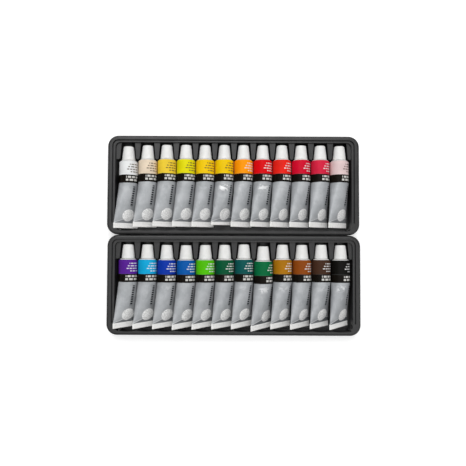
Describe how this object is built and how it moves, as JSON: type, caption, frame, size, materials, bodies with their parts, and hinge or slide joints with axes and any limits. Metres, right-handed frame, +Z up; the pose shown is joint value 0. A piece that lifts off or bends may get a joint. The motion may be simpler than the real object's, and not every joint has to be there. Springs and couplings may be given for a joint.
{
  "type": "acrylic paint set",
  "caption": "Two black moulded trays laid edge to edge, holding rows of capped, collapsible metal paint tubes that lift out; their screw caps turn.",
  "frame": {"origin": "centre of the bounding box, at the height of the surface the trays stand on", "axes": "+X along the rows of tubes, +Y from the folded tails towards the caps, +Z up"},
  "size_m": [0.259, 0.204, 0.0215],
  "materials": {
    "tray_plastic": "satin black vacuum-formed sheet with a faint pressed texture",
    "cap_plastic": "white moulded plastic, satin, fluted along its length",
    "tube_white": "thin drawn aluminium, bare and satin, with a printed band in this colour below the shoulder",
    "tube_peach": "thin drawn aluminium, bare and satin, with a printed band in this colour below the shoulder",
    "tube_deep_yellow": "thin drawn aluminium, bare and satin, with a printed band in this colour below the shoulder",
    "tube_lemon_yellow": "thin drawn aluminium, bare and satin, with a printed band in this colour below the shoulder",
    "tube_golden_yellow": "thin drawn aluminium, bare and satin, with a printed band in this colour below the shoulder",
    "tube_warm_yellow": "thin drawn aluminium, bare and satin, with a printed band in this colour below the shoulder",
    "tube_orange": "thin drawn aluminium, bare and satin, with a printed band in this colour below the shoulder",
    "tube_scarlet": "thin drawn aluminium, bare and satin, with a printed band in this colour below the shoulder",
    "tube_vermilion": "thin drawn aluminium, bare and satin, with a printed band in this colour below the shoulder",
    "tube_crimson": "thin drawn aluminium, bare and satin, with a printed band in this colour below the shoulder",
    "tube_magenta": "thin drawn aluminium, bare and satin, with a printed band in this colour below the shoulder",
    "tube_pale_pink": "thin drawn aluminium, bare and satin, with a printed band in this colour below the shoulder",
    "tube_violet": "thin drawn aluminium, bare and satin, with a printed band in this colour below the shoulder",
    "tube_sky_blue": "thin drawn aluminium, bare and satin, with a printed band in this colour below the shoulder",
    "tube_ultramarine": "thin drawn aluminium, bare and satin, with a printed band in this colour below the shoulder",
    "tube_cobalt_blue": "thin drawn aluminium, bare and satin, with a printed band in this colour below the shoulder",
    "tube_light_green": "thin drawn aluminium, bare and satin, with a printed band in this colour below the shoulder",
    "tube_dark_green": "thin drawn aluminium, bare and satin, with a printed band in this colour below the shoulder",
    "tube_teal": "thin drawn aluminium, bare and satin, with a printed band in this colour below the shoulder",
    "tube_emerald_green": "thin drawn aluminium, bare and satin, with a printed band in this colour below the shoulder",
    "tube_ochre": "thin drawn aluminium, bare and satin, with a printed band in this colour below the shoulder",
    "tube_sienna": "thin drawn aluminium, bare and satin, with a printed band in this colour below the shoulder",
    "tube_brown": "thin drawn aluminium, bare and satin, with a printed band in this colour below the shoulder",
    "tube_black": "thin drawn aluminium, bare and satin, with a printed band in this colour below the shoulder"
  },
  "bodies": {
    "tray_back": {"tray_back": "tray_plastic"},
    "tray_front": {"tray_front": "tray_plastic"},
    "tube_white": {"tube_white": "tube_white"},
    "cap_white": {"cap_white": "cap_plastic"},
    "tube_peach": {"tube_peach": "tube_peach"},
    "cap_peach": {"cap_peach": "cap_plastic"},
    "tube_deep_yellow": {"tube_deep_yellow": "tube_deep_yellow"},
    "cap_deep_yellow": {"cap_deep_yellow": "cap_plastic"},
    "tube_lemon_yellow": {"tube_lemon_yellow": "tube_lemon_yellow"},
    "cap_lemon_yellow": {"cap_lemon_yellow": "cap_plastic"},
    "tube_golden_yellow": {"tube_golden_yellow": "tube_golden_yellow"},
    "cap_golden_yellow": {"cap_golden_yellow": "cap_plastic"},
    "tube_warm_yellow": {"tube_warm_yellow": "tube_warm_yellow"},
    "cap_warm_yellow": {"cap_warm_yellow": "cap_plastic"},
    "tube_orange": {"tube_orange": "tube_orange"},
    "cap_orange": {"cap_orange": "cap_plastic"},
    "tube_scarlet": {"tube_scarlet": "tube_scarlet"},
    "cap_scarlet": {"cap_scarlet": "cap_plastic"},
    "tube_vermilion": {"tube_vermilion": "tube_vermilion"},
    "cap_vermilion": {"cap_vermilion": "cap_plastic"},
    "tube_crimson": {"tube_crimson": "tube_crimson"},
    "cap_crimson": {"cap_crimson": "cap_plastic"},
    "tube_magenta": {"tube_magenta": "tube_magenta"},
    "cap_magenta": {"cap_magenta": "cap_plastic"},
    "tube_pale_pink": {"tube_pale_pink": "tube_pale_pink"},
    "cap_pale_pink": {"cap_pale_pink": "cap_plastic"},
    "tube_violet": {"tube_violet": "tube_violet"},
    "cap_violet": {"cap_violet": "cap_plastic"},
    "tube_sky_blue": {"tube_sky_blue": "tube_sky_blue"},
    "cap_sky_blue": {"cap_sky_blue": "cap_plastic"},
    "tube_ultramarine": {"tube_ultramarine": "tube_ultramarine"},
    "cap_ultramarine": {"cap_ultramarine": "cap_plastic"},
    "tube_cobalt_blue": {"tube_cobalt_blue": "tube_cobalt_blue"},
    "cap_cobalt_blue": {"cap_cobalt_blue": "cap_plastic"},
    "tube_light_green": {"tube_light_green": "tube_light_green"},
    "cap_light_green": {"cap_light_green": "cap_plastic"},
    "tube_dark_green": {"tube_dark_green": "tube_dark_green"},
    "cap_dark_green": {"cap_dark_green": "cap_plastic"},
    "tube_teal": {"tube_teal": "tube_teal"},
    "cap_teal": {"cap_teal": "cap_plastic"},
    "tube_emerald_green": {"tube_emerald_green": "tube_emerald_green"},
    "cap_emerald_green": {"cap_emerald_green": "cap_plastic"},
    "tube_ochre": {"tube_ochre": "tube_ochre"},
    "cap_ochre": {"cap_ochre": "cap_plastic"},
    "tube_sienna": {"tube_sienna": "tube_sienna"},
    "cap_sienna": {"cap_sienna": "cap_plastic"},
    "tube_brown": {"tube_brown": "tube_brown"},
    "cap_brown": {"cap_brown": "cap_plastic"},
    "tube_black": {"tube_black": "tube_black"},
    "cap_black": {"cap_black": "cap_plastic"}
  },
  "joints": [
    {"name": "tray_back_lift", "type": "slide", "parent": "tray_front", "child": "tray_back", "axis": [0, 0, 1], "range_m": [0, 0.05]},
    {"name": "tube_white_lift", "type": "slide", "parent": "tray_back", "child": "tube_white", "axis": [-0.2164, 0, 0.9763], "range_m": [0, 0.04]},
    {"name": "cap_white_turn", "type": "hinge", "parent": "tube_white", "child": "cap_white", "pos_m": [-0.10875, 0, 0.01085], "axis": [0, 1, 0], "range_deg": [0, 720]},
    {"name": "tube_peach_lift", "type": "slide", "parent": "tray_back", "child": "tube_peach", "axis": [-0.2164, 0, 0.9763], "range_m": [0, 0.04]},
    {"name": "cap_peach_turn", "type": "hinge", "parent": "tube_peach", "child": "cap_peach", "pos_m": [-0.08895, 0, 0.01085], "axis": [0, 1, 0], "range_deg": [0, 720]},
    {"name": "tube_deep_yellow_lift", "type": "slide", "parent": "tray_back", "child": "tube_deep_yellow", "axis": [-0.2164, 0, 0.9763], "range_m": [0, 0.04]},
    {"name": "cap_deep_yellow_turn", "type": "hinge", "parent": "tube_deep_yellow", "child": "cap_deep_yellow", "pos_m": [-0.06915, 0, 0.01085], "axis": [0, 1, 0], "range_deg": [0, 720]},
    {"name": "tube_lemon_yellow_lift", "type": "slide", "parent": "tray_back", "child": "tube_lemon_yellow", "axis": [-0.2164, 0, 0.9763], "range_m": [0, 0.04]},
    {"name": "cap_lemon_yellow_turn", "type": "hinge", "parent": "tube_lemon_yellow", "child": "cap_lemon_yellow", "pos_m": [-0.04935, 0, 0.01085], "axis": [0, 1, 0], "range_deg": [0, 720]},
    {"name": "tube_golden_yellow_lift", "type": "slide", "parent": "tray_back", "child": "tube_golden_yellow", "axis": [-0.2164, 0, 0.9763], "range_m": [0, 0.04]},
    {"name": "cap_golden_yellow_turn", "type": "hinge", "parent": "tube_golden_yellow", "child": "cap_golden_yellow", "pos_m": [-0.02955, 0, 0.01085], "axis": [0, 1, 0], "range_deg": [0, 720]},
    {"name": "tube_warm_yellow_lift", "type": "slide", "parent": "tray_back", "child": "tube_warm_yellow", "axis": [-0.2164, 0, 0.9763], "range_m": [0, 0.04]},
    {"name": "cap_warm_yellow_turn", "type": "hinge", "parent": "tube_warm_yellow", "child": "cap_warm_yellow", "pos_m": [-0.00975, 0, 0.01085], "axis": [0, 1, 0], "range_deg": [0, 720]},
    {"name": "tube_orange_lift", "type": "slide", "parent": "tray_back", "child": "tube_orange", "axis": [-0.2164, 0, 0.9763], "range_m": [0, 0.04]},
    {"name": "cap_orange_turn", "type": "hinge", "parent": "tube_orange", "child": "cap_orange", "pos_m": [0.01005, 0, 0.01085], "axis": [0, 1, 0], "range_deg": [0, 720]},
    {"name": "tube_scarlet_lift", "type": "slide", "parent": "tray_back", "child": "tube_scarlet", "axis": [-0.2164, 0, 0.9763], "range_m": [0, 0.04]},
    {"name": "cap_scarlet_turn", "type": "hinge", "parent": "tube_scarlet", "child": "cap_scarlet", "pos_m": [0.02985, 0, 0.01085], "axis": [0, 1, 0], "range_deg": [0, 720]},
    {"name": "tube_vermilion_lift", "type": "slide", "parent": "tray_back", "child": "tube_vermilion", "axis": [-0.2164, 0, 0.9763], "range_m": [0, 0.04]},
    {"name": "cap_vermilion_turn", "type": "hinge", "parent": "tube_vermilion", "child": "cap_vermilion", "pos_m": [0.04965, 0, 0.01085], "axis": [0, 1, 0], "range_deg": [0, 720]},
    {"name": "tube_crimson_lift", "type": "slide", "parent": "tray_back", "child": "tube_crimson", "axis": [-0.2164, 0, 0.9763], "range_m": [0, 0.04]},
    {"name": "cap_crimson_turn", "type": "hinge", "parent": "tube_crimson", "child": "cap_crimson", "pos_m": [0.06945, 0, 0.01085], "axis": [0, 1, 0], "range_deg": [0, 720]},
    {"name": "tube_magenta_lift", "type": "slide", "parent": "tray_back", "child": "tube_magenta", "axis": [-0.2164, 0, 0.9763], "range_m": [0, 0.04]},
    {"name": "cap_magenta_turn", "type": "hinge", "parent": "tube_magenta", "child": "cap_magenta", "pos_m": [0.08925, 0, 0.01085], "axis": [0, 1, 0], "range_deg": [0, 720]},
    {"name": "tube_pale_pink_lift", "type": "slide", "parent": "tray_back", "child": "tube_pale_pink", "axis": [-0.2164, 0, 0.9763], "range_m": [0, 0.04]},
    {"name": "cap_pale_pink_turn", "type": "hinge", "parent": "tube_pale_pink", "child": "cap_pale_pink", "pos_m": [0.10905, 0, 0.01085], "axis": [0, 1, 0], "range_deg": [0, 720]},
    {"name": "tube_violet_lift", "type": "slide", "parent": "tray_front", "child": "tube_violet", "axis": [-0.2164, 0, 0.9763], "range_m": [0, 0.04]},
    {"name": "cap_violet_turn", "type": "hinge", "parent": "tube_violet", "child": "cap_violet", "pos_m": [-0.10795, 0, 0.01085], "axis": [0, 1, 0], "range_deg": [0, 720]},
    {"name": "tube_sky_blue_lift", "type": "slide", "parent": "tray_front", "child": "tube_sky_blue", "axis": [-0.2164, 0, 0.9763], "range_m": [0, 0.04]},
    {"name": "cap_sky_blue_turn", "type": "hinge", "parent": "tube_sky_blue", "child": "cap_sky_blue", "pos_m": [-0.08815, 0, 0.01085], "axis": [0, 1, 0], "range_deg": [0, 720]},
    {"name": "tube_ultramarine_lift", "type": "slide", "parent": "tray_front", "child": "tube_ultramarine", "axis": [-0.2164, 0, 0.9763], "range_m": [0, 0.04]},
    {"name": "cap_ultramarine_turn", "type": "hinge", "parent": "tube_ultramarine", "child": "cap_ultramarine", "pos_m": [-0.06835, 0, 0.01085], "axis": [0, 1, 0], "range_deg": [0, 720]},
    {"name": "tube_cobalt_blue_lift", "type": "slide", "parent": "tray_front", "child": "tube_cobalt_blue", "axis": [-0.2164, 0, 0.9763], "range_m": [0, 0.04]},
    {"name": "cap_cobalt_blue_turn", "type": "hinge", "parent": "tube_cobalt_blue", "child": "cap_cobalt_blue", "pos_m": [-0.04855, 0, 0.01085], "axis": [0, 1, 0], "range_deg": [0, 720]},
    {"name": "tube_light_green_lift", "type": "slide", "parent": "tray_front", "child": "tube_light_green", "axis": [-0.2164, 0, 0.9763], "range_m": [0, 0.04]},
    {"name": "cap_light_green_turn", "type": "hinge", "parent": "tube_light_green", "child": "cap_light_green", "pos_m": [-0.02875, 0, 0.01085], "axis": [0, 1, 0], "range_deg": [0, 720]},
    {"name": "tube_dark_green_lift", "type": "slide", "parent": "tray_front", "child": "tube_dark_green", "axis": [-0.2164, 0, 0.9763], "range_m": [0, 0.04]},
    {"name": "cap_dark_green_turn", "type": "hinge", "parent": "tube_dark_green", "child": "cap_dark_green", "pos_m": [-0.00895, 0, 0.01085], "axis": [0, 1, 0], "range_deg": [0, 720]},
    {"name": "tube_teal_lift", "type": "slide", "parent": "tray_front", "child": "tube_teal", "axis": [-0.2164, 0, 0.9763], "range_m": [0, 0.04]},
    {"name": "cap_teal_turn", "type": "hinge", "parent": "tube_teal", "child": "cap_teal", "pos_m": [0.01085, 0, 0.01085], "axis": [0, 1, 0], "range_deg": [0, 720]},
    {"name": "tube_emerald_green_lift", "type": "slide", "parent": "tray_front", "child": "tube_emerald_green", "axis": [-0.2164, 0, 0.9763], "range_m": [0, 0.04]},
    {"name": "cap_emerald_green_turn", "type": "hinge", "parent": "tube_emerald_green", "child": "cap_emerald_green", "pos_m": [0.03065, 0, 0.01085], "axis": [0, 1, 0], "range_deg": [0, 720]},
    {"name": "tube_ochre_lift", "type": "slide", "parent": "tray_front", "child": "tube_ochre", "axis": [-0.2164, 0, 0.9763], "range_m": [0, 0.04]},
    {"name": "cap_ochre_turn", "type": "hinge", "parent": "tube_ochre", "child": "cap_ochre", "pos_m": [0.05045, 0, 0.01085], "axis": [0, 1, 0], "range_deg": [0, 720]},
    {"name": "tube_sienna_lift", "type": "slide", "parent": "tray_front", "child": "tube_sienna", "axis": [-0.2164, 0, 0.9763], "range_m": [0, 0.04]},
    {"name": "cap_sienna_turn", "type": "hinge", "parent": "tube_sienna", "child": "cap_sienna", "pos_m": [0.07025, 0, 0.01085], "axis": [0, 1, 0], "range_deg": [0, 720]},
    {"name": "tube_brown_lift", "type": "slide", "parent": "tray_front", "child": "tube_brown", "axis": [-0.2164, 0, 0.9763], "range_m": [0, 0.04]},
    {"name": "cap_brown_turn", "type": "hinge", "parent": "tube_brown", "child": "cap_brown", "pos_m": [0.09005, 0, 0.01085], "axis": [0, 1, 0], "range_deg": [0, 720]},
    {"name": "tube_black_lift", "type": "slide", "parent": "tray_front", "child": "tube_black", "axis": [-0.2164, 0, 0.9763], "range_m": [0, 0.04]},
    {"name": "cap_black_turn", "type": "hinge", "parent": "tube_black", "child": "cap_black", "pos_m": [0.10985, 0, 0.01085], "axis": [0, 1, 0], "range_deg": [0, 720]}
  ]
}
